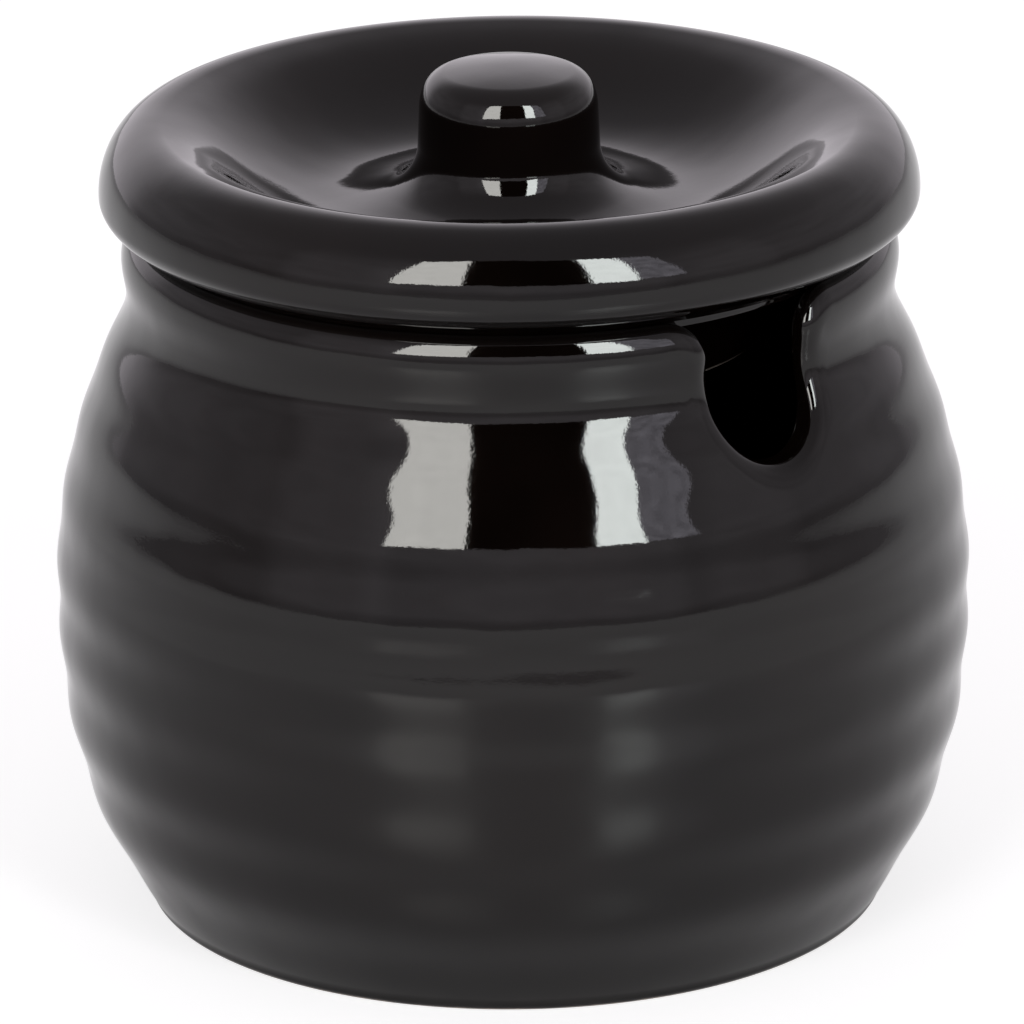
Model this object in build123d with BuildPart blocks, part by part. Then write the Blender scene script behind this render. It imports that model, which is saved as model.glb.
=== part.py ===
from build123d import *
from math import radians, sin, tan
import os

# Soy sauce pot in glossy black stoneware: a bellied jar with a spoon notch in its
# mouth, and a lift-off lid with a knob, a dished top, and below it a step that
# centres it in the mouth and a deep skirt. Millimetres, Z up, origin on the table
# under the middle of the foot, and the spoon notch towards -Y.

# Jar: body
body_radius = 42.9  # widest place, between two throwing rings
body_height = 32.0  # height of the widest place
shoulder_height = 57.2  # where the body turns into the neck
lower_fullness = 2.67  # how late the body draws in towards the foot
upper_fullness = 1.88  # how late it draws in towards the shoulder
wall = 3.0
floor = 4.0
floor_round = 6.0  # inside corner between floor and wall

# Jar: throwing rings, placed as shares of the shoulder's height
ring_places = (0.173, 0.316, 0.460, 0.577, 0.703, 0.822, 0.936)
ring_relief_low = 0.22  # from the mean surface to a crest, beside the foot
ring_relief_high = 0.05  # the same beside the shoulder

# Jar: mouth, neck and lip
mouth_radius = 33.5
neck_wall = 2.3  # the narrowest place of the neck, outside the straight mouth
neck_rise = 2.2  # from the shoulder up to that place
shoulder_step = 0.5  # how much wider the shoulder is than the neck
lip_swell = 0.5  # how much wider the lip is than the neck
lip_rise = 3.1  # from the neck up to the lip's widest place
lip_crown_rise = 3.0  # from there up to the crown
lip_inner_round = 1.0  # from the mouth out to the crown
lip_inner_drop = 1.6  # from the crown down to the straight mouth

# Jar: foot, a ring round a shallow recess
foot_radius = 34.95
foot_round = 0.75
foot_ring_width = 3.6
foot_recess = 1.4
foot_recess_slope = 0.9

# Jar: spoon notch, a deep U whose upper corners open outwards
notch_width = 11.0
notch_depth = 14.1  # from the crown of the lip down to the bottom of the U
notch_corner_round = 4.5
notch_run_out = 0.5  # how far that rounding would run on above the crown
notch_edge_round = 0.7

# Lid: rolled rim
rim_overhang = 1.96  # how far it stands out past the lip
rim_lift = 3.24  # from the crown of the lip up to the rim's widest place
rim_rise = 6.66  # from there up to the crest
rim_half_width = 5.06  # from the widest place in to the crest
rim_inner_width = 4.7  # half width of the roll towards the dish
rim_inner_turn = 12.0  # degrees that the roll goes on past its crest
rim_underside_drop = 2.97  # from the widest place to the rim's lowest curve
rim_underside_turn = 70.0  # degrees from the widest place in to the seat

# Lid: dish
dish_radius = 19.0  # a ring low in the dish, where its wall begins to rise
dish_lift = 2.7  # that ring above the crown of the lip
dish_wall_inset = 12.76  # from the rim's widest place in to the middle of the dish's wall
dish_wall_rise = 3.15  # from the low ring up to there
dish_brow_inset = 8.96  # from the rim's widest place in to where the wall eases off
dish_brow_rise = 5.9  # from the low ring up to there

# Lid: knob
knob_radius = 8.5  # where its side meets the curve of its foot
knob_foot_rise = 4.7  # from the low ring up to there
knob_side_rise = 8.4  # from the low ring up to where the side starts to turn over
knob_lean = 2.5  # degrees that the side leans in
knob_foot_round = 4.7
knob_foot_fall = 18.0  # degrees at which that curve still falls where it meets the dish
knob_lower_round = 5.0  # radius of the turn above the side
knob_lower_turn = 25.0  # degrees at which that turn quickens
knob_upper_round = 2.55
knob_upper_turn = 80.0  # degrees at which the turn meets the dome

# Lid: underside
lid_wall = 3.8
seat_clearance = 0.1  # between the lid's seat and the crown of the lip
mouth_clearance = 0.5  # between the locating step and the mouth
step_depth = 1.6  # how far the step hangs below the seat
step_width = 3.2
step_edge_round = 0.5
hollow_width = 5.4  # between the step and the skirt
hollow_rise = 2.0  # rise of that hollow from the skirt to the step
skirt_wall = 3.0
skirt_depth = 10.2  # how far the skirt hangs below the seat
skirt_edge_round = 1.2
underside_round = 2.0

# Heights and radii of the jar that follow
floor_height = foot_recess + floor
foot_flat_radius = foot_radius - foot_round
recess_radius = foot_radius - foot_ring_width
neck_radius = mouth_radius + neck_wall
neck_height = shoulder_height + neck_rise
shoulder_radius = neck_radius + shoulder_step
lip_radius = neck_radius + lip_swell
lip_height = neck_height + lip_rise
lip_crown_radius = mouth_radius + lip_inner_round
jar_height = lip_height + lip_crown_rise
mouth_top = jar_height - lip_inner_drop
notch_corner_height = jar_height + notch_run_out - notch_corner_round
notch_bottom = jar_height - notch_depth

# Heights and radii of the lid that follow
seat_height = jar_height + seat_clearance
rim_radius = lip_radius + rim_overhang
rim_height = jar_height + rim_lift
rim_crest_radius = rim_radius - rim_half_width
dish_height = jar_height + dish_lift
dish_wall_radius = rim_radius - dish_wall_inset
dish_wall_height = dish_height + dish_wall_rise
dish_brow_radius = rim_radius - dish_brow_inset
dish_brow_height = dish_height + dish_brow_rise
knob_foot_top = dish_height + knob_foot_rise
knob_side_top = dish_height + knob_side_rise
knob_top_radius = knob_radius - (knob_side_top - knob_foot_top) * tan(radians(knob_lean))
underside = dish_height - lid_wall
step_radius = mouth_radius - mouth_clearance
step_inside = step_radius - step_width
step_bottom = seat_height - step_depth
skirt_radius = step_inside - hollow_width
skirt_inside = skirt_radius - skirt_wall
skirt_bottom = seat_height - skirt_depth


def body_radius_at(height):
    """Mean radius of the body at a height, without the rings."""
    if height < body_height:
        share = (body_height - height) / (body_height - foot_round)
        return body_radius - (body_radius - foot_radius) * share**lower_fullness
    share = (height - body_height) / (shoulder_height - body_height)
    return body_radius - (body_radius - shoulder_radius) * share**upper_fullness


def body_slope_at(height):
    """Change of that mean radius over one foot rounding of height."""
    return (body_radius_at(height + foot_round) - body_radius_at(height)) / foot_round


def ring_relief_at(height):
    """Relief of the throwing rings, strongest at the foot."""
    return ring_relief_low + (ring_relief_high - ring_relief_low) * height / shoulder_height


# Crests of the rings, and the valleys midway below them
crest_heights = [place * shoulder_height for place in ring_places]
valley_heights = [(low + high) / 2 for low, high in zip([foot_round] + crest_heights, crest_heights)]
ring_points = []
for valley, crest in zip(valley_heights, crest_heights):
    ring_points.append((body_radius_at(valley) - ring_relief_at(valley), valley))
    ring_points.append((body_radius_at(crest) + ring_relief_at(crest), crest))

# Inside of the wall, from the neck down, one wall in from the mean body
inner_heights = [floor_height + (shoulder_height - floor_height) * fifth / 5 for fifth in (4, 3, 2, 1, 0)]
inner_points = [(body_radius_at(height) - wall, height) for height in inner_heights]

# Jar: one turned section from the foot up the outside and down the inside
with BuildPart() as jar:
    with BuildSketch(Plane.XZ):
        with BuildLine():
            RadiusArc((foot_flat_radius, 0), (foot_radius, foot_round), -foot_round)
            Spline(
                (foot_radius, foot_round),
                *ring_points,
                (shoulder_radius, shoulder_height),
                (neck_radius, neck_height),
                (lip_radius, lip_height),
                tangents=[(body_slope_at(foot_round), 1), (0, 1)],
            )
            EllipticalCenterArc(
                (lip_crown_radius, lip_height),
                lip_radius - lip_crown_radius,
                lip_crown_rise,
                start_angle=0,
                arc_size=90,
            )
            EllipticalCenterArc(
                (lip_crown_radius, mouth_top), lip_inner_round, lip_inner_drop, start_angle=90, arc_size=90
            )
            Line((mouth_radius, mouth_top), (mouth_radius, neck_height))
            Spline(
                (mouth_radius, neck_height),
                *inner_points,
                tangents=[(0, -1), (-body_slope_at(floor_height), -1)],
            )
            Polyline(
                inner_points[-1],
                (0, floor_height),
                (0, foot_recess),
                (recess_radius - foot_recess_slope, foot_recess),
                (recess_radius, 0),
                (foot_flat_radius, 0),
            )
        make_face()
    revolve(axis=Axis.Z)
    turned_rings = jar.edges().filter_by(GeomType.CIRCLE)
    fillet(turned_rings.filter_by_position(Axis.Z, floor_height, floor_height), floor_round)

    # Spoon notch, cut through the front wall from inside the mouth outwards
    with BuildSketch(Plane.XZ.offset(skirt_radius)):
        with BuildLine():
            half_notch = notch_width / 2
            corner_middle = half_notch + notch_corner_round
            CenterArc((-corner_middle, notch_corner_height), notch_corner_round, 0, 90)
            Line((-half_notch, notch_corner_height), (-half_notch, notch_bottom + half_notch))
            CenterArc((0, notch_bottom + half_notch), half_notch, 180, 180)
            Line((half_notch, notch_bottom + half_notch), (half_notch, notch_corner_height))
            CenterArc((corner_middle, notch_corner_height), notch_corner_round, 90, 90)
            notch_top = notch_corner_height + notch_corner_round
            Line((corner_middle, notch_top), (-corner_middle, notch_top))
        make_face()
    extrude(amount=body_radius, mode=Mode.SUBTRACT)
    # The cut's own walls are the narrow faces, and its rims are the edges that only one of them has
    notch_walls = [face for face in jar.faces(Select.LAST) if face.bounding_box().size.X < mouth_radius]
    wall_edges = [edge for face in notch_walls for edge in face.edges()]
    notch_rims = ShapeList(edge for edge in wall_edges if wall_edges.count(edge) == 1)
    fillet(notch_rims.sort_by(Axis.Z).sort_by(Axis.X), notch_edge_round)

# Lid: one turned section from the knob out over the dish and rim, and back below
with BuildPart() as lid:
    with BuildSketch(Plane.XZ):
        with BuildLine():
            side = Line((knob_radius, knob_foot_top), (knob_top_radius, knob_side_top))
            foot_turn = 90 - knob_lean - knob_foot_fall
            foot_curve = JernArc(side @ 0, -(side % 0), knob_foot_round, foot_turn)
            lower_turn = JernArc(side @ 1, side % 1, knob_lower_round, knob_lower_turn - knob_lean)
            upper_turn = JernArc(
                lower_turn @ 1, lower_turn % 1, knob_upper_round, knob_upper_turn - knob_lower_turn
            )
            dome_turn = 90 - knob_upper_turn
            dome = JernArc(
                upper_turn @ 1, upper_turn % 1, (upper_turn @ 1).X / sin(radians(dome_turn)), dome_turn
            )
            rim_inside = EllipticalCenterArc(
                (rim_crest_radius, rim_height),
                rim_inner_width,
                rim_rise,
                start_angle=90,
                arc_size=rim_inner_turn,
            )
            Spline(
                foot_curve @ 1,
                (dish_radius, dish_height),
                (dish_wall_radius, dish_wall_height),
                (dish_brow_radius, dish_brow_height),
                rim_inside @ 1,
                tangents=[foot_curve % 1, -(rim_inside % 1)],
            )
            EllipticalCenterArc(
                (rim_crest_radius, rim_height), rim_half_width, rim_rise, start_angle=0, arc_size=90
            )
            rim_under = EllipticalCenterArc(
                (rim_crest_radius, rim_height),
                rim_half_width,
                rim_underside_drop,
                start_angle=-rim_underside_turn,
                arc_size=rim_underside_turn,
            )
            seat_radius = (rim_under @ 0).X
            Line(rim_under @ 0, (seat_radius, seat_height))
            FilletPolyline(
                (seat_radius, seat_height),
                (step_radius, seat_height),
                (step_radius, step_bottom),
                (step_inside, step_bottom),
                (step_inside, seat_height + hollow_rise),
                (skirt_radius, seat_height),
                (skirt_radius, skirt_bottom),
                (skirt_inside, skirt_bottom),
                (skirt_inside, underside),
                (0, underside),
                radius=[
                    step_edge_round,
                    step_edge_round,
                    step_edge_round,
                    underside_round,
                    underside_round,
                    skirt_edge_round,
                    skirt_edge_round,
                    underside_round,
                ],
            )
            Line((0, underside), (0, (dome @ 1).Y))
        make_face()
    revolve(axis=Axis.Z)

os.makedirs("parts", exist_ok=True)
for name, piece in (("jar", jar), ("lid", lid)):
    piece.part.label = name
    export_step(piece.part, f"parts/{name}.step")
    print(name, round(piece.part.volume), "mm3", piece.part.bounding_box().size)
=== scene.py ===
import math

import bpy
import numpy as np
from mathutils import Matrix, Vector


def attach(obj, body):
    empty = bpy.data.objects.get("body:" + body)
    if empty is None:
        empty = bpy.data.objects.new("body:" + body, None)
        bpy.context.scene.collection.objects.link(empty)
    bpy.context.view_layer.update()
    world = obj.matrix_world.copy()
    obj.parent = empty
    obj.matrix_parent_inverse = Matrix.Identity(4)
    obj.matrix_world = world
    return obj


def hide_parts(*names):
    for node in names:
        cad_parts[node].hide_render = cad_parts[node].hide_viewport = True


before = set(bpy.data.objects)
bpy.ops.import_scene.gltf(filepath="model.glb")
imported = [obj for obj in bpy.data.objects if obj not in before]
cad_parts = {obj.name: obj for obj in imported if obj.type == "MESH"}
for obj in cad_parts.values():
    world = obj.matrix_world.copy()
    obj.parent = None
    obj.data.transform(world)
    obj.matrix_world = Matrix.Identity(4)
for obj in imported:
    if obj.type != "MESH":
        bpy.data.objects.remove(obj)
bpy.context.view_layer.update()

# Glossy black sauce pot with a lift-off lid. Both pieces are worked out in millimetres as closed
# surfaces, finer than the CAD meshes, because a mirror-like glaze shows every facet.

mm = 0.001


# Curves

def smooth(share):
    # 3t² - 2t³ between 0 and 1, level at both ends
    share = np.clip(share, 0, 1)
    return share * share * (3 - 2 * share)


def eased(value, start, length):
    # 0 up to the start, 1 from a length further on, smooth between
    return smooth((value - start) / length)


def arc(centre, radii, start, turn, count):
    # centre plus the radii times the cosine and sine of an angle that steps evenly, in degrees
    angle = np.radians(np.linspace(start, start + turn, count))
    return np.column_stack([centre[0] + radii[0] * np.cos(angle), centre[1] + radii[1] * np.sin(angle)])


def bend(start, heading, radius, turn, count):
    # round arc that leaves a point along a heading and turns left, in degrees; its centre lies a radius
    # away, square to the heading
    side = math.radians(heading + 90)
    centre = (start[0] + radius * math.cos(side), start[1] + radius * math.sin(side))
    return arc(centre, (radius, radius), heading - 90, turn, count)


def blend(t, start, end, startPull, endPull):
    # cubic with a given slope at each end: the weights at share t are
    # 2t³ - 3t² + 1, 3t² - 2t³, t³ - 2t² + t and t³ - t²
    return (
        (2 * t**3 - 3 * t**2 + 1) * start
        + (3 * t**2 - 2 * t**3) * end
        + (t**3 - 2 * t**2 + t) * startPull
        + (t**3 - t**2) * endPull
    )


def splineThrough(x, y, firstSlope, lastSlope):
    # cubic spline: the slopes at the knots solve the equations that make its curvature continuous,
    # with both end slopes given; returns the curve as a function of x
    x = np.asarray(x, float)
    y = np.asarray(y, float)
    gap = np.diff(x)
    rise = np.diff(y) / gap
    inner = np.arange(1, len(x) - 1)
    system = np.eye(len(x))
    system[inner, inner - 1] = gap[1:]
    system[inner, inner] = 2 * (gap[:-1] + gap[1:])
    system[inner, inner + 1] = gap[:-1]
    target = np.r_[firstSlope, 3 * (gap[1:] * rise[:-1] + gap[:-1] * rise[1:]), lastSlope]
    slope = np.linalg.solve(system, target)

    def curve(at):
        i = np.clip(np.searchsorted(x, at) - 1, 0, len(gap) - 1)
        t = (at - x[i]) / gap[i]
        return blend(t, y[i], y[i + 1], gap[i] * slope[i], gap[i] * slope[i + 1])

    return curve


def roundedCorners(corners, radii, count):
    # each inner corner becomes an arc that touches both of its sides: its centre lies on the line that
    # halves the corner, the radius over the sine of half the corner away
    rows = [corners[:1]]
    for before, corner, after, radius in zip(corners, corners[1:], corners[2:], radii):
        toBefore = (before - corner) / np.linalg.norm(before - corner)
        toAfter = (after - corner) / np.linalg.norm(after - corner)
        half = math.acos(toBefore @ toAfter) / 2
        middle = (toBefore + toAfter) / np.linalg.norm(toBefore + toAfter)
        centre = corner + middle * radius / math.sin(half)
        firstArm = corner + toBefore * radius / math.tan(half) - centre
        lastArm = corner + toAfter * radius / math.tan(half) - centre
        turn = math.pi - 2 * half
        t = np.linspace(0, 1, count)[:, None]
        swung = np.sin((1 - t) * turn) * firstArm + np.sin(t * turn) * lastArm
        rows.append(centre + swung / math.sin(turn))
    rows.append(corners[-1:])
    return np.vstack(rows)


def filledIn(profile, step):
    # extra points, evenly spaced, on every straight run that is longer than a step
    rows = [profile[:1]]
    for start, end in zip(profile, profile[1:]):
        parts = max(1, math.ceil(np.linalg.norm(end - start) / step))
        share = np.arange(1, parts + 1)[:, None] / parts
        rows.append(start + (end - start) * share)
    return np.vstack(rows)


def ringAt(angle, radius, height):
    # radius times the sine, minus radius times the cosine, and the height: angle 0 faces the notch
    return np.stack([radius * np.sin(angle), -radius * np.cos(angle), height + 0 * angle], axis=-1)


# Meshes

def closedPiece(name, grid, firstPole, lastPole):
    # rings of points between two poles: quads between neighbouring rings, a fan at each pole;
    # with the angle running anticlockwise from above, rings that go outwards and down face outwards
    rows, columns = grid.shape[:2]
    points = np.vstack([[firstPole], grid.reshape(-1, 3), [lastPole]]) * mm
    here = 1 + np.arange(rows * columns).reshape(rows, columns)
    beside = np.roll(here, -1, axis=1)
    quads = np.stack([here[:-1], here[1:], beside[1:], beside[:-1]], axis=-1).reshape(-1, 4)
    firstFan = np.column_stack([np.zeros(columns, int), here[0], beside[0]])
    lastFan = np.column_stack([np.full(columns, len(points) - 1), beside[-1], here[-1]])
    corners = np.concatenate([firstFan.ravel(), quads.ravel(), lastFan.ravel()])
    sizes = np.r_[np.full(columns, 3), np.full(len(quads), 4), np.full(columns, 3)]
    mesh = bpy.data.meshes.new(name)
    mesh.vertices.add(len(points))
    mesh.vertices.foreach_set("co", points.ravel())
    mesh.loops.add(len(corners))
    mesh.loops.foreach_set("vertex_index", corners)
    mesh.polygons.add(len(sizes))
    mesh.polygons.foreach_set("loop_start", np.r_[0, np.cumsum(sizes)[:-1]])
    mesh.polygons.foreach_set("use_smooth", np.ones(len(sizes), bool))
    mesh.update(calc_edges=True)
    piece = bpy.data.objects.new(name, mesh)
    bpy.context.scene.collection.objects.link(piece)
    return piece


def relaxed(across, up, lap, rounds):
    # evens out a grid that wraps round with the given lap, its first and last rows held: each point moves
    # to the weighted mean of its four neighbours, less twice the skew times the twist; the weights are the
    # squares of the grid's own steps, each for the other direction
    across = across.copy()
    up = up.copy()
    for _ in range(rounds):
        eastAcross = np.roll(across, -1, axis=1)
        eastAcross[:, -1] += lap
        westAcross = np.roll(across, 1, axis=1)
        westAcross[:, 0] -= lap
        eastUp = np.roll(up, -1, axis=1)
        westUp = np.roll(up, 1, axis=1)
        stepAcross = (eastAcross - westAcross) / 2
        stepUp = (eastUp - westUp) / 2
        downAcross = np.gradient(across, axis=0)
        downUp = np.gradient(up, axis=0)
        sideWeight = (downAcross**2 + downUp**2)[1:-1]
        downWeight = (stepAcross**2 + stepUp**2)[1:-1]
        skew = (stepAcross * downAcross + stepUp * downUp)[1:-1]
        moved = []
        for values, east, west in ((across, eastAcross, westAcross), (up, eastUp, westUp)):
            twist = np.gradient((east - west) / 2, axis=0)[1:-1]
            level = sideWeight * (east + west)[1:-1] + downWeight * (values[2:] + values[:-2])
            level = level - 2 * skew * twist
            moved.append(level / (2 * (sideWeight + downWeight)))
        across[1:-1], up[1:-1] = moved
    return across, up


# Jar

jar = {
    "bodyRadius": 42.9,
    "bodyHeight": 32.0,  # where the body is widest
    "lowerFullness": 2.67,  # how late the body draws in towards the foot
    "upperFullness": 1.88,  # and towards the shoulder
    "shoulderRadius": 36.26,
    "shoulderHeight": 57.2,
    "wall": 3.0,
    "floorHeight": 5.4,
    "floorRound": 6.0,
    "ringPlaces": (0.173, 0.316, 0.460, 0.577, 0.703, 0.822, 0.936),  # shares of the shoulder's height
    "ringReliefLow": 0.22,  # from the mean surface to a crest, at the bottom and at the shoulder
    "ringReliefHigh": 0.035,
    "neckRadius": 35.9,
    "neckHeight": 59.4,
    "lipRadius": 36.3,
    "lipHeight": 62.5,
    "height": 65.5,
    "mouthRadius": 33.5,
    "footRadius": 34.95,
    "footRound": 0.75,
    "footRingWidth": 3.6,
    "footRecess": 1.4,
    "footSlope": 0.9,
    "footEdgeRound": 0.4,
    "notchRadius": 5.65,  # half width, and radius of the U
    "notchBottom": 51.2,
    "notchLean": 0.05,  # how far it leans to one side, per depth
    "notchCorner": 4.0,
    # roundings of the rim: a size in the notch, and how much more it is at the lip
    "outerReach": (2.2, 0.8),  # how far the outer one runs down from the rim
    "outerDrop": (1.15, 0.65),  # how far it draws in
    "innerReach": (0.8, 0.8),
    "innerDrop": (0.7, 0.3),
    "lipMargin": 1,  # how far before and after the notch's corner that change begins and ends
    "clayBelow": 0.00012,  # metres; under the foot the clay is bare up to here
    "clayFade": 0.0002,
    # the grid
    "planeRadius": 36.0,  # of the cylinder on which the notch and the columns are laid out
    "lowestBent": 41.0,  # below this height every column is upright
    "notchStep": 0.4,  # spacing of the columns along the notch, and round the body
    "bodyStep": 0.9,
    "stepChange": (16, 30),  # where along the rim it starts to change, and over what length
    "shiftChange": (3, 52),  # the same for the shift of the columns that makes room for the notch
    "straightChange": (12, 18),  # the same, off the middle, for the straight cut through the wall
    "landShares": (0.34, 0.67),  # rows on the rim between its two roundings
    "poleRing": 3,  # radius of the smallest ring round the axis
    "recessStep": 4,  # spacing of the rings in the recess under the foot
    "rimSamples": 4000,  # points at which the way along the rim is measured, and the wall's lean
    "wallSamples": 2000,
    "relaxRounds": 400,  # how often the skins round the notch are evened out
    "rows": {
        "floor": 6,
        "floorCorner": 9,
        "wall": 20,
        "innerSkin": 22,
        "innerRound": 8,
        "outerRound": 11,
        "outerSkin": 34,
        "body": 64,
        "foot": 8,
        "footEdge": 5,
    },
}


def meanRadius(height):
    # widest radius less a power of the distance from the widest height, to the foot or to the shoulder
    lower = np.clip((jar["bodyHeight"] - height) / (jar["bodyHeight"] - jar["footRound"]), 0, None)
    upper = np.clip((height - jar["bodyHeight"]) / (jar["shoulderHeight"] - jar["bodyHeight"]), 0, None)
    toFoot = (jar["bodyRadius"] - jar["footRadius"]) * lower ** jar["lowerFullness"]
    toShoulder = (jar["bodyRadius"] - jar["shoulderRadius"]) * upper ** jar["upperFullness"]
    return jar["bodyRadius"] - toFoot - toShoulder


def meanSlope(height):
    # change of that radius over one foot rounding of height
    return (meanRadius(height + jar["footRound"]) - meanRadius(height)) / jar["footRound"]


def outerRadius():
    # spline through the foot, the valleys and crests of the throwing rings, shoulder, neck and lip
    crests = np.array(jar["ringPlaces"]) * jar["shoulderHeight"]
    valleys = (np.r_[jar["footRound"], crests[:-1]] + crests) / 2
    heights = np.column_stack([valleys, crests]).ravel()
    low = jar["ringReliefLow"]
    high = jar["ringReliefHigh"]
    relief = low + (high - low) * heights / jar["shoulderHeight"]
    radii = meanRadius(heights) + relief * np.tile([-1, 1], len(crests))
    heights = np.r_[jar["footRound"], heights, jar["shoulderHeight"], jar["neckHeight"], jar["lipHeight"]]
    radii = np.r_[jar["footRadius"], radii, jar["shoulderRadius"], jar["neckRadius"], jar["lipRadius"]]
    curve = splineThrough(heights, radii, meanSlope(jar["footRound"]), 0)
    return lambda height: curve(np.minimum(height, jar["lipHeight"]))


def innerRadius():
    # one wall in from the mean body, and straight in the mouth
    heights = np.r_[np.linspace(jar["floorHeight"], jar["shoulderHeight"], 6)[:-1], jar["neckHeight"]]
    radii = np.r_[meanRadius(heights[:-1]) - jar["wall"], jar["mouthRadius"]]
    curve = splineThrough(heights, radii, meanSlope(jar["floorHeight"]), 0)
    return lambda height: curve(np.minimum(height, jar["neckHeight"]))


def rimPath():
    # the rim, unrolled. One half is a quarter circle from the bottom of the notch, an upright side, a corner
    # and the level lip as far as the back; the other is its mirror image, and the notch then leans by a
    # share of the depth. Gives place, direction into the clay, how far it is lip, and where the column
    # stands lower down
    radius = jar["notchRadius"]
    corner = jar["notchCorner"]
    top = jar["height"]
    margin = jar["lipMargin"]
    middle = jar["notchBottom"] + radius
    quarter = math.pi / 2 * radius
    side = top - corner - middle
    cornerRun = math.pi / 2 * corner
    spare = quarter + side + cornerRun - radius - corner  # path length beyond the way straight across
    fullRun = math.pi * jar["planeRadius"] + spare
    fine = np.linspace(0, fullRun, jar["rimSamples"])
    step = jar["notchStep"] + (jar["bodyStep"] - jar["notchStep"]) * eased(fine, *jar["stepChange"])
    counted = np.r_[0, np.cumsum(np.diff(fine) * 2 / (step[1:] + step[:-1]))]
    run = np.interp(np.linspace(0, counted[-1], round(counted[-1]) + 1), counted, fine)
    low = run / radius
    high = (run - quarter - side) / corner
    where = [run < quarter, run < quarter + side, run < quarter + side + cornerRun]
    cornerAcross = radius + corner - corner * np.cos(high)
    cornerUp = top - corner + corner * np.sin(high)
    across = np.select(where, [radius * np.sin(low), radius + 0 * run, cornerAcross], run - spare)
    up = np.select(where, [middle - radius * np.cos(low), middle + run - quarter, cornerUp], top)
    inAcross = np.select(where, [np.sin(low), 1 + 0 * run, np.cos(high)], 0)
    inUp = np.select(where, [-np.cos(low), 0 * run, -np.sin(high)], -1)
    lipShare = smooth((run - quarter - side + margin) / (cornerRun + 2 * margin))
    upright = run - spare * eased(run, *jar["shiftChange"])

    def bothSides(values, sign):
        # the mirrored half from the back to the notch, then the half itself, with each end taken once
        return np.r_[sign * values[:0:-1], values[:-1]]

    half = (across, up, inAcross, inUp, lipShare, upright)
    signs = (-1, 1, -1, 1, 1, -1)
    rim = [bothSides(values, sign) for values, sign in zip(half, signs)]
    rim[0] += jar["notchLean"] * (top - rim[1])
    return rim


def columnAngle(across, radius):
    # near the notch a column keeps its distance from the middle plane, so the notch is cut straight through
    # the wall; further round it keeps its angle
    steepest = 0.95  # keeps the arcsine in range where it has no weight
    straight = 1 - eased(np.abs(across), *jar["straightChange"])
    flat = np.arcsin(np.clip(across / radius, -steepest, steepest))
    return straight * flat + (1 - straight) * across / jar["planeRadius"]


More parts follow.
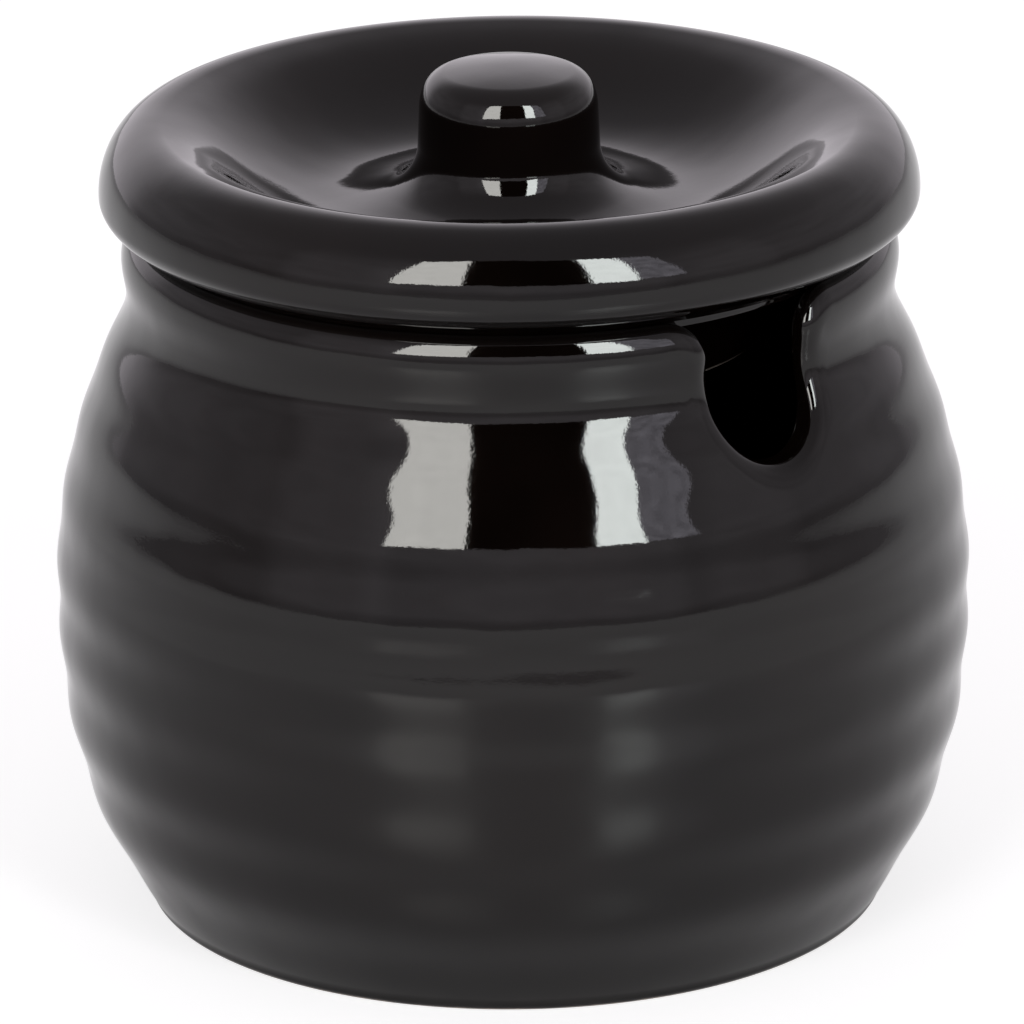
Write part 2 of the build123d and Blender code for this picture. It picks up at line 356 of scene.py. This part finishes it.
def jarGrid():
    # rows of points from the floor inside up the wall, over the rim, down the outside and in under the foot
    outer = outerRadius()
    inner = innerRadius()
    across, up, inAcross, inUp, lipShare, upright = rimPath()
    lap = 2 * math.pi * jar["planeRadius"]
    rowCount = jar["rows"]

    def alongRim(size):
        # the size in the notch plus what is added at the lip
        inNotch, more = size
        return inNotch + more * lipShare

    outerReach = alongRim(jar["outerReach"])
    outerDrop = alongRim(jar["outerDrop"])
    innerReach = alongRim(jar["innerReach"])
    innerDrop = alongRim(jar["innerDrop"])

    def rounding(reach, drop, surface, angles):
        # quarter ellipse from the rim out to the wall: reach times 1 - cos, drop times 1 - sin
        rows = []
        for turn in angles:
            gone = reach * (1 - math.cos(turn))
            height = up + gone * inUp
            radius = surface(height) - drop * (1 - math.sin(turn))
            placed = across + gone * inAcross
            rows.append(ringAt(columnAngle(placed, radius), radius, height))
        return rows

    def skin(reach, surface, count):
        # from the end of the rounding down to the upright columns, first as cubics, then evened out
        start = np.stack([across + reach * inAcross, up + reach * inUp])
        end = np.stack([upright, np.full(len(upright), jar["lowestBent"])])
        far = np.hypot(*(end - start))
        t = np.linspace(0, 1, count)[:, None]
        rowAcross = blend(t, start[0], end[0], far * inAcross, 0)
        rowUp = blend(t, start[1], end[1], far * inUp, -far)
        rowAcross, rowUp = relaxed(rowAcross, rowUp, lap, jar["relaxRounds"])
        radius = surface(rowUp)
        return list(ringAt(columnAngle(rowAcross, radius), radius, rowUp))

    def turnedRows(profile, angle):
        # one ring for each radius and height of the profile
        return [ringAt(angle, radius, height) for radius, height in profile]

    # inside: floor, round corner, wall; the corner's centre lies its radius above the floor and, square to
    # the leaning wall, its radius in from there
    floorHeight = jar["floorHeight"]
    floorRound = jar["floorRound"]
    heights = np.linspace(floorHeight, jar["lowestBent"], jar["wallSamples"])
    radii = inner(heights)
    lean = np.arctan(np.gradient(radii, heights))
    touch = np.searchsorted(heights + floorRound * (np.sin(lean) - 1), floorHeight)
    cornerMiddle = (radii[touch] - floorRound * math.cos(lean[touch]), floorHeight + floorRound)
    cornerTurn = 90 - math.degrees(lean[touch])
    corner = arc(cornerMiddle, (floorRound, floorRound), -90, cornerTurn, rowCount["floorCorner"])
    floorRadii = np.linspace(jar["poleRing"], cornerMiddle[0], rowCount["floor"])[:-1]
    floorLine = np.column_stack([floorRadii, np.full(len(floorRadii), floorHeight)])
    wallHeights = np.linspace(heights[touch], jar["lowestBent"], rowCount["wall"])[1:-1]
    wallLine = np.column_stack([inner(wallHeights), wallHeights])
    insideAngle = columnAngle(upright, inner(jar["lowestBent"]))
    rows = turnedRows(np.vstack([floorLine, corner, wallLine]), insideAngle)
    rows += skin(innerReach, inner, rowCount["innerSkin"])[::-1]

    # rim: inner rounding, the level land between, outer rounding
    innerTurns = np.linspace(math.pi / 2, 0, rowCount["innerRound"])[1:]
    rows += rounding(innerReach, -innerDrop, inner, innerTurns)
    landInside = inner(up) + innerDrop
    landOutside = outer(up) - outerDrop
    for share in jar["landShares"]:
        radius = landInside + (landOutside - landInside) * share
        rows.append(ringAt(columnAngle(across, radius), radius, up))
    outerTurns = np.linspace(0, math.pi / 2, rowCount["outerRound"])[:-1]
    rows += rounding(outerReach, outerDrop, outer, outerTurns)

    # outside: skin round the notch, body, foot, recess
    rows += skin(outerReach, outer, rowCount["outerSkin"])
    bodyHeights = np.linspace(jar["lowestBent"], jar["footRound"], rowCount["body"])[1:-1]
    bodyLine = np.column_stack([outer(bodyHeights), bodyHeights])
    footRound = jar["footRound"]
    flatRadius = jar["footRadius"] - footRound
    footLine = arc((flatRadius, footRound), (footRound, footRound), 0, -90, rowCount["foot"])
    recess = jar["footRecess"]
    recessRadius = jar["footRadius"] - jar["footRingWidth"]
    recessTop = recessRadius - jar["footSlope"]
    under = np.array([(flatRadius, 0), (recessRadius, 0), (recessTop, recess), (jar["poleRing"], recess)])
    underLine = roundedCorners(under, 2 * (jar["footEdgeRound"],), rowCount["footEdge"])[1:]
    outsideAngle = columnAngle(upright, outer(jar["lowestBent"]))
    underLine = filledIn(underLine, jar["recessStep"])
    rows += turnedRows(np.vstack([bodyLine, footLine, underLine]), outsideAngle)
    return np.stack(rows)


# Lid

lid = {
    "rimRadius": 38.26,
    "rimHeight": 68.74,
    "crestRadius": 33.2,
    "rimRise": 6.66,
    "rimDrop": 2.97,
    "underTurn": 70,  # degrees from the rim's widest place in to the seat
    "innerWidth": 4.7,
    "innerTurn": 12,  # degrees that the rim's curve goes on past its crest, towards the dish
    "dishRings": ((19.0, 68.2), (25.5, 71.35), (29.3, 74.1)),  # radius and height up the dish's wall
    "knobRadius": 8.5,  # where its side meets the curve of its foot
    "knobLean": 2.5,  # degrees
    "knobFootTop": 72.9,
    "knobFootRound": 4.7,
    "knobFootFall": 18,  # degrees at which that curve still falls where it meets the dish
    "knobSideTop": 76.6,
    "knobTurns": ((5.0, 22.5), (2.55, 55)),  # radius and turn of each arc from the side to the dome
    "domeTurn": 10,
    "domeTip": 0.001,  # how far the middle stands above the smallest ring of the dome
    "seatHeight": 65.6,
    "stepRadius": 33.0,
    "stepBottom": 64.0,
    "stepInside": 29.8,
    "hollowHeight": 67.6,
    "skirtRadius": 24.4,
    "skirtInside": 21.4,
    "skirtBottom": 55.4,
    "underside": 64.4,
    "rounds": (0.4, 0.5, 0.5, 2, 2, 1.2, 1.2, 2),  # of the corners below, from the seat in to the middle
    "clayBelow": 0.0556,  # metres; the lower edge of the skirt is wiped bare up to here
    "clayFade": 0.0004,
    # the grid
    "columns": 320,
    "poleRing": 3,  # radius of the smallest ring under the lid
    "knobStep": 0.7,  # spacing of the rings on the knob, and below the lid
    "belowStep": 1.4,
    "rows": {"knobFoot": 28, "dome": 16, "dish": 52, "rimIn": 12, "rimOut": 40, "rimUnder": 22, "corner": 7},
}


def lidProfile():
    # from the top of the knob out over the dish and the rolled rim, and back below to the axis: arcs that
    # touch one another, a spline, quarter ellipses, and straight runs with rounded corners
    rowCount = lid["rows"]
    lean = math.radians(lid["knobLean"])
    sideFoot = (lid["knobRadius"], lid["knobFootTop"])
    footTurn = 90 - lid["knobLean"] - lid["knobFootFall"]
    foot = bend(sideFoot, 270 + lid["knobLean"], lid["knobFootRound"], footTurn, rowCount["knobFoot"])
    sideRise = lid["knobSideTop"] - lid["knobFootTop"]
    point = np.array([lid["knobRadius"] - sideRise * math.tan(lean), lid["knobSideTop"]])
    knob = [foot[::-1], point[None]]
    heading = 90 + lid["knobLean"]
    for radius, turn in lid["knobTurns"]:
        count = 4 + int(turn / 2)  # a point for every 2 degrees, and a few more for a short arc
        knob.append(bend(point, heading, radius, turn, count)[1:])
        point = knob[-1][-1]
        heading += turn
    domeRadius = point[0] / math.sin(math.radians(lid["domeTurn"]))
    knob.append(bend(point, heading, domeRadius, lid["domeTurn"], rowCount["dome"])[1:-1])
    knobLine = filledIn(np.vstack(knob), lid["knobStep"])[::-1]

    # dish: a spline from the knob's foot through three rings to the rim's inner curve, where its slope is
    # rise over width times the tangent of the rim's last turn
    crest = (lid["crestRadius"], lid["rimHeight"])
    innerTurn = lid["innerTurn"]
    rimInside = arc(crest, (lid["innerWidth"], lid["rimRise"]), 90 + innerTurn, -innerTurn, rowCount["rimIn"])
    knots = np.vstack([foot[-1], lid["dishRings"], rimInside[0]])
    rimSlope = lid["rimRise"] / lid["innerWidth"] * math.tan(math.radians(innerTurn))
    dish = splineThrough(*knots.T, -math.tan(math.radians(lid["knobFootFall"])), rimSlope)
    dishRadii = np.linspace(knots[0, 0], knots[-1, 0], rowCount["dish"])
    dishLine = np.column_stack([dishRadii, dish(dishRadii)])
    halfWidth = lid["rimRadius"] - lid["crestRadius"]
    rimOutside = arc(crest, (halfWidth, lid["rimRise"]), 90, -90, rowCount["rimOut"])
    rimUnder = arc(crest, (halfWidth, lid["rimDrop"]), 0, -lid["underTurn"], rowCount["rimUnder"])
    seatRadius = rimUnder[-1][0]
    below = np.array(
        [
            (seatRadius, lid["seatHeight"]),
            (lid["stepRadius"], lid["seatHeight"]),
            (lid["stepRadius"], lid["stepBottom"]),
            (lid["stepInside"], lid["stepBottom"]),
            (lid["stepInside"], lid["hollowHeight"]),
            (lid["skirtRadius"], lid["seatHeight"]),
            (lid["skirtRadius"], lid["skirtBottom"]),
            (lid["skirtInside"], lid["skirtBottom"]),
            (lid["skirtInside"], lid["underside"]),
            (lid["poleRing"], lid["underside"]),
        ]
    )
    belowLine = filledIn(roundedCorners(below, lid["rounds"], rowCount["corner"]), lid["belowStep"])
    return np.vstack([knobLine[:-1], dishLine, rimInside[1:], rimOutside[1:], rimUnder[1:], belowLine])


def lidGrid(profile):
    # the profile turned about the axis, one ring for each of its points
    angle = np.linspace(0, 2 * math.pi, lid["columns"], endpoint=False)
    return np.stack([ringAt(angle, radius, height) for radius, height in profile])


# Shader nodes

class Wire:
    # one node output, so that masks and sums are written as plain maths
    def __init__(self, shader, output):
        self.shader = shader
        self.output = output

    def also(self, name):
        # another output of the same node
        return Wire(self.shader, self.output.node.outputs[name])

    def maths(self, operation, first, second=0.0):
        return self.shader.node("ShaderNodeMath", {"operation": operation}, {0: first, 1: second})

    def __add__(self, other):
        return self.maths("ADD", self, other)

    def __radd__(self, other):
        return self.maths("ADD", other, self)

    def __sub__(self, other):
        return self.maths("SUBTRACT", self, other)

    def __rsub__(self, other):
        return self.maths("SUBTRACT", other, self)

    def __mul__(self, other):
        return self.maths("MULTIPLY", self, other)

    def __rmul__(self, other):
        return self.maths("MULTIPLY", other, self)

    def __truediv__(self, other):
        return self.maths("DIVIDE", self, other)

    def atLeast(self, least):
        return self.maths("MAXIMUM", self, least)

    def step(self, low, high):
        # 0 below the low value, 1 above the high one, eased between
        settings = {"interpolation_type": "SMOOTHSTEP"}
        limits = {"Value": self, "From Min": low, "From Max": high}
        return self.shader.node("ShaderNodeMapRange", settings, limits)


class Shader:
    # one node tree, and ways to add nodes to it
    def __init__(self, tree):
        self.tree = tree
        tree.nodes.clear()

    def node(self, kind, settings=None, inputs=None, output=0):
        # settings first, then the values or links of the sockets; gives the wire of one output
        made = self.tree.nodes.new(kind)
        for key, value in (settings or {}).items():
            if key == "stops":
                self.fillRamp(made.color_ramp, value)
            else:
                setattr(made, key, value)
        for key, value in (inputs or {}).items():
            if isinstance(value, Wire):
                self.tree.links.new(value.output, made.inputs[key])
            else:
                made.inputs[key].default_value = value
        return Wire(self, made.outputs[output]) if len(made.outputs) else None

    def fillRamp(self, ramp, stops):
        while len(ramp.elements) < len(stops):
            ramp.elements.new(0.5)
        for element, (place, colour) in zip(ramp.elements, stops):
            element.position = place
            element.color = (*colour, 1)

    def noise(self, place, scale, detail):
        return self.node("ShaderNodeTexNoise", {}, {"Vector": place, "Scale": scale, "Detail": detail})

    def ramp(self, share, stops):
        return self.node("ShaderNodeValToRGB", {"stops": stops}, {0: share})

    def along(self, place, axis):
        # how far a place or a direction goes along an axis: their dot product
        inputs = {0: place, 1: tuple(axis)}
        return self.node("ShaderNodeVectorMath", {"operation": "DOT_PRODUCT"}, inputs, "Value")


def newMaterial(name):
    material = bpy.data.materials.new(name)
    material.use_nodes = True
    return material, Shader(material.node_tree)


# scale and detail stand for each noise, on coordinates in metres
glaze = {
    "thinness": (45, 3),
    "deep": (0.35, (0.0013, 0.0007, 0.0005)),  # how thin the glaze lies, and its colour there
    "thin": (0.68, (0.0032, 0.0019, 0.0015)),
    "gloss": 0.03,  # roughness
    "glossSpread": 0.02,  # what is added to it at most, and the shares of thinness and peel in that
    "thinShare": 0.6,
    "peelShare": 0.4,
    "index": 1.41,
    "ripple": 0.00009,  # height of the glaze's slow waves, in metres
    "waves": (130, 1),
    "peel": (700, 2),
    "pits": (4200, 2),
    "peelRelief": 0.05,  # as shares of the waves' height
    "pitRelief": 0.025,
}

clay = {
    "grain": (900, 3),
    "dark": (0.3, (0.24, 0.20, 0.17)),  # the grain's value, and the colour there
    "pale": (0.7, (0.34, 0.30, 0.26)),
    "roughness": 0.7,
    "edge": (300, 2),
    "edgeWander": 0.0004,  # how far the edge of the glaze wanders up and down, in metres
}


def glazedStoneware(name, clayBelow, clayFade):
    # black glaze over the whole piece, and bare clay under a height, in metres, where it was wiped or stood.
    # The clay's edge wanders by a noise; colour and roughness follow how thin the glaze lies, and its
    # relief is slow waves with a little peel and small pits
    material, shader = newMaterial(name)
    place = shader.node("ShaderNodeTexCoord", output="Object")
    height = shader.node("ShaderNodeSeparateXYZ", {}, {0: place}, "Z")
    thinness = shader.noise(place, *glaze["thinness"])
    waves = shader.noise(place, *glaze["waves"])
    peel = shader.noise(place, *glaze["peel"])
    pits = shader.noise(place, *glaze["pits"])
    edge = height + clay["edgeWander"] * (shader.noise(place, *clay["edge"]) - 0.5)
    bare = 1 - edge.step(clayBelow, clayBelow + clayFade)
    glazeColour = shader.ramp(thinness, [glaze["deep"], glaze["thin"]])
    clayColour = shader.ramp(shader.noise(place, *clay["grain"]), [clay["dark"], clay["pale"]])
    colours = {"Factor": bare, 6: glazeColour, 7: clayColour}
    colour = shader.node("ShaderNodeMix", {"data_type": "RGBA"}, colours, 2)
    spread = thinness * glaze["thinShare"] + peel * glaze["peelShare"]
    roughness = glaze["gloss"] + glaze["glossSpread"] * spread * (1 - bare) + clay["roughness"] * bare
    relief = waves + glaze["peelRelief"] * peel + glaze["pitRelief"] * pits
    bump = {"Strength": 1.0, "Distance": glaze["ripple"], "Height": relief}
    bumped = shader.node("ShaderNodeBump", {}, bump, "Normal")
    surface = shader.node(
        "ShaderNodeBsdfPrincipled",
        {},
        {"Base Color": colour, "Roughness": roughness, "IOR": glaze["index"], "Normal": bumped},
    )
    shader.node("ShaderNodeOutputMaterial", {}, {"Surface": surface})
    return material


print("jar")
jarPiece = closedPiece("jar_body", jarGrid(), (0, 0, jar["floorHeight"]), (0, 0, jar["footRecess"]))
jarPiece.data.materials.append(glazedStoneware("jar_glaze", jar["clayBelow"], jar["clayFade"]))
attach(jarPiece, "jar")
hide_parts("jar")

print("lid")
turned = lidProfile()
knobTop = turned[0][1] + lid["domeTip"]
lidPiece = closedPiece("lid_with_knob", lidGrid(turned), (0, 0, knobTop), (0, 0, lid["underside"]))
lidPiece.data.materials.append(glazedStoneware("lid_glaze", lid["clayBelow"], lid["clayFade"]))
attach(lidPiece, "lid")
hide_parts("lid")


# Camera

view = {
    "azimuth": -38.9,  # the notch faces azimuth 0, the camera stands to its left
    "elevation": 19.18,
    "distance": 0.9,
    "roll": 0.576,
    "lens": 335.77,
    "aimRight": -0.000061,
    "aimHeight": 0.036553,
    "farthest": 20,  # how far it sees
}

azimuth = math.radians(view["azimuth"])
elevation = math.radians(view["elevation"])
towardCamera = Vector((math.sin(azimuth), -math.cos(azimuth), 0))
toTheRight = Vector((math.cos(azimuth), math.sin(azimuth), 0))
upward = Vector((0, 0, 1))


def addCamera():
    # it looks at the aim from a distance along the elevation, turned by the roll about its line of sight
    data = bpy.data.cameras.new("camera")
    data.lens = view["lens"]
    data.clip_end = view["farthest"]
    camera = bpy.data.objects.new("camera", data)
    backward = towardCamera * math.cos(elevation) + upward * math.sin(elevation)
    straightUp = backward.cross(toTheRight)
    roll = math.radians(view["roll"])
    right = toTheRight * math.cos(roll) - straightUp * math.sin(roll)
    top = toTheRight * math.sin(roll) + straightUp * math.cos(roll)
    aim = toTheRight * view["aimRight"] + upward * view["aimHeight"]
    facing = Matrix([right, top, backward]).transposed().to_4x4()
    camera.matrix_world = Matrix.Translation(aim + backward * view["distance"]) @ facing
    bpy.context.scene.collection.objects.link(camera)
    bpy.context.scene.camera = camera


# Floor

ground = {
    "halfSize": 4,
    "colour": 0.78,
    "glow": 1.7,  # brightness of the white that is mixed in where a camera or the glaze sees the floor
    "shown": 0.4,  # its share for a camera
    "paintedShadeNear": 0.11,  # in the glaze, close in front of the pot; this smaller share is painted shade
    "paintedShadeNearFade": (0.06, 0.2),  # distances from the pot's middle between which that ends
    "frontFade": (-0.3, 0.3),  # and cosines of the way round from the front
    "far": 0.3,  # in the glaze elsewhere
    "paintedFarLoss": 0.6,  # how much of it is lost far out, a painted fall-off of the light, and between which distances
    "farFade": (0.35, 1.6),
    "sheen": 0.73,  # how strong and how rough the sheen is that the glaze shows beside the pot
    "sheenFade": (0.17, 0.26),
    "roughness": 0.3,
    "index": 1.45,
}


def flatCard(name, corners):
    # a single face in the XY plane, with a new material of the same name
    mesh = bpy.data.meshes.new(name)
    mesh.from_pydata([(x, y, 0) for x, y in corners], [], [(0, 1, 2, 3)])
    material, shader = newMaterial(name)
    mesh.materials.append(material)
    return mesh, shader


def addFloor():
    # pale and matt; a camera or a mirror sees it in part as a plain white, and the pot's shadow stays.
    # For the glaze the white's share falls off far out and is small close in front of the pot: both are
    # painted shade in the floor's reflection, over the real shadow. Near the pot the glaze also sees a sheen:
    # its strength times what a smooth surface mirrors at that angle
    size = ground["halfSize"]
    mesh, shader = flatCard("floor", ((-size, -size), (size, -size), (size, size), (-size, size)))
    floor = bpy.data.objects.new("floor", mesh)
    bpy.context.scene.collection.objects.link(floor)
    camera = shader.node("ShaderNodeLightPath", output="Is Camera Ray")
    mirrored = camera.also("Is Glossy Ray") + camera.also("Is Transmission Ray")
    place = shader.node("ShaderNodeTexCoord", output="Object")
    away = shader.node("ShaderNodeVectorMath", {"operation": "LENGTH"}, {0: place}, "Value")
    cosine = shader.along(place, towardCamera) / away.atLeast(0.01)  # not divided by 0 in the middle
    # painted shade: less of the white in the glaze close in front of the pot
    paintedShadeNear = (1 - away.step(*ground["paintedShadeNearFade"])) * cosine.step(*ground["frontFade"])
    # painted fall-off: less of the white in the glaze far out
    far = ground["far"] * (1 - ground["paintedFarLoss"] * away.step(*ground["farFade"]))
    seen = ground["shown"] * camera + mirrored * (far * (1 - paintedShadeNear) + ground["paintedShadeNear"] * paintedShadeNear)
    colour = ground["colour"]
    matt = shader.node("ShaderNodeBsdfDiffuse", {}, {"Color": (colour, colour, colour, 1)})
    white = shader.node("ShaderNodeEmission", {}, {"Color": (1, 1, 1, 1), "Strength": ground["glow"]})
    plain = shader.node("ShaderNodeMixShader", {}, {0: seen, 1: matt, 2: white})
    sheen = shader.node("ShaderNodeBsdfGlossy", {}, {"Roughness": ground["roughness"]})
    fresnel = shader.node("ShaderNodeFresnel", {}, {"IOR": ground["index"]})
    shine = ground["sheen"] * fresnel * mirrored * (1 - away.step(*ground["sheenFade"]))
    surface = shader.node("ShaderNodeMixShader", {}, {0: shine, 1: plain, 2: sheen})
    shader.node("ShaderNodeOutputMaterial", {}, {"Surface": surface})


# Lights

lights = {
    "ahead": 1.25,  # from the pot to the plane of the softboxes, on the camera's side
    "behindCards": 0.01,  # how far behind the cards the lamps stand
    "softboxes": {"left": (-0.85, -0.27, 5.5), "right": (0.51, 0.85, 8.5)},  # left and right edge, brightness
    "low": 0.375,
    "high": 1.48,
    # what the glaze mirrors in that plane: four corners, brightness, how mottled it is, colour
    "cards": {
        "window_left": (
            (-0.84, 0.375), (-0.266, 0.375), (-0.266, 1.48), (-0.71, 1.46), 14.2, 0.12, (1.0, 0.985, 0.94)
        ),
        "window_right": (
            (0.51, 0.375), (0.853, 0.375), (0.853, 1.5), (0.51, 1.5), 22.5, 0.12, (0.95, 1.0, 0.975)
        ),
        "dark_gap": ((-0.266, 0.375), (0.51, 0.375), (0.51, 1.5), (-0.266, 1.5), 0.0, 0.0, (1.0, 1.0, 1.0)),
        "curtain": ((0.853, 0.4), (1.44, 0.43), (1.22, 1.5), (0.853, 1.5), 2.3, 0.75, (1.0, 0.96, 1.08)),
    },
    "mottles": (7, 3),  # scale and detail of the noise
}


def standing(name, data, across, ahead, height):
    # an upright lamp or card in front of the pot, facing it: its own axes point right, up and to the camera
    thing = bpy.data.objects.new(name, data)
    place = toTheRight * across + towardCamera * ahead + upward * height
    facing = Matrix([toTheRight, upward, towardCamera]).transposed().to_4x4()
    thing.matrix_world = Matrix.Translation(place) @ facing
    bpy.context.scene.collection.objects.link(thing)
    thing.visible_camera = False
    return thing


def addCards():
    # glowing cards that only the glaze shows; the lamps behind them give the light. The strength is the
    # brightness times 1 - mottling + 2 times mottling times the noise
    for name, (*corners, brightness, mottling, colour) in lights["cards"].items():
        mesh, shader = flatCard(name, corners)
        place = shader.node("ShaderNodeTexCoord", output="Object")
        strength = brightness * (1 - mottling + 2 * mottling * shader.noise(place, *lights["mottles"]))
        glow = shader.node("ShaderNodeEmission", {}, {"Color": (*colour, 1), "Strength": strength})
        shader.node("ShaderNodeOutputMaterial", {}, {"Surface": glow})
        card = standing(name, mesh, 0, lights["ahead"], 0)
        card.visible_diffuse = False
        card.visible_shadow = False


def addSoftboxes():
    # the power is the brightness times pi times the lamp's area
    low = lights["low"]
    high = lights["high"]
    ahead = lights["ahead"] + lights["behindCards"]
    for side, (left, right, brightness) in lights["softboxes"].items():
        lamp = bpy.data.lights.new("softbox_" + side, "AREA")
        lamp.shape = "RECTANGLE"
        lamp.size = right - left
        lamp.size_y = high - low
        lamp.energy = brightness * math.pi * lamp.size * lamp.size_y
        softbox = standing("softbox_" + side, lamp, (left + right) / 2, ahead, (low + high) / 2)
        softbox.visible_glossy = False


# Room

room = {
    "tint": (1.0, 0.94, 1.0),
    "front": 0.62,  # brightness on the camera's side, behind the pot, and above
    "back": 1.15,
    "above": 0.47,
    # how much lighter the front is left and right of the softboxes, and below them, and the tangents off
    # the camera's side between which each begins and ends
    "bands": {
        "left": (0.22, (-2.5, -1.7), (-0.75, -0.55)),
        "right": (0.14, (0.9, 1.5), (3, 6)),
        "middle": (0.24, (-0.95, -0.6), (0.8, 1.1)),
    },
    "patches": (2.6, 3),  # scale and detail of the noise
    "patchStretch": (1, 1, 3),
    "patchContrast": 0.5,
    "lowLoss": 0.3,  # how much dimmer the front is just above the floor
    "lowFade": (0.02, 0.14),
    "frontSlant": 0.06,  # how much brighter it gets to the right
    "aboveFade": (0.4, 0.8),
    "backSlant": 0.28,  # how much dimmer the back gets to the right, and upwards
    "backLoss": 0.4,
    "backFade": (0.35, 0.7),
    "turnFade": (0.5, 0.85),  # how far a direction points behind the pot where front becomes back
}


def addRoom():
    # brightness by direction only: a pale backdrop behind the pot, a dimmer room in front and above.
    # The front is its brightness and bands, times patches of noise, the loss near the floor and the slant,
    # and gives way upwards to the brightness above; the back is its brightness times its slant and loss
    world = bpy.data.worlds.new("room")
    bpy.context.scene.world = world
    world.use_nodes = True
    shader = Shader(world.node_tree)
    direction = shader.node("ShaderNodeTexCoord", output="Generated")
    behind = shader.along(direction, -towardCamera)
    side = shader.along(direction, toTheRight)
    height = shader.node("ShaderNodeSeparateXYZ", {}, {0: direction}, "Z")
    across = side / (-1 * behind).atLeast(0.1)  # tangent of the angle off the camera's side
    bands = 0
    for lighter, begins, ends in room["bands"].values():
        bands = bands + lighter * across.step(*begins) * (1 - across.step(*ends))
    stretched = {"Vector": direction, "Scale": room["patchStretch"]}
    contrast = room["patchContrast"]
    noise = shader.noise(shader.node("ShaderNodeMapping", {}, stretched), *room["patches"])
    patches = 1 - contrast / 2 + contrast * noise
    lowest = 1 - room["lowLoss"] + room["lowLoss"] * height.step(*room["lowFade"])
    over = height.step(*room["aboveFade"])
    front = (room["front"] + bands) * patches * lowest * (1 + room["frontSlant"] * side)
    front = front * (1 - over) + room["above"] * over
    backLoss = 1 - room["backLoss"] * height.step(*room["backFade"])
    back = room["back"] * (1 - room["backSlant"] * side) * backLoss
    strength = front + (back - front) * behind.step(*room["turnFade"])
    surface = shader.node("ShaderNodeBackground", {}, {"Color": (*room["tint"], 1), "Strength": strength})
    shader.node("ShaderNodeOutputWorld", {}, {"Surface": surface})


print("studio")
addCamera()
addFloor()
addCards()
addSoftboxes()
addRoom()
bpy.context.scene.view_settings.view_transform = "Standard"
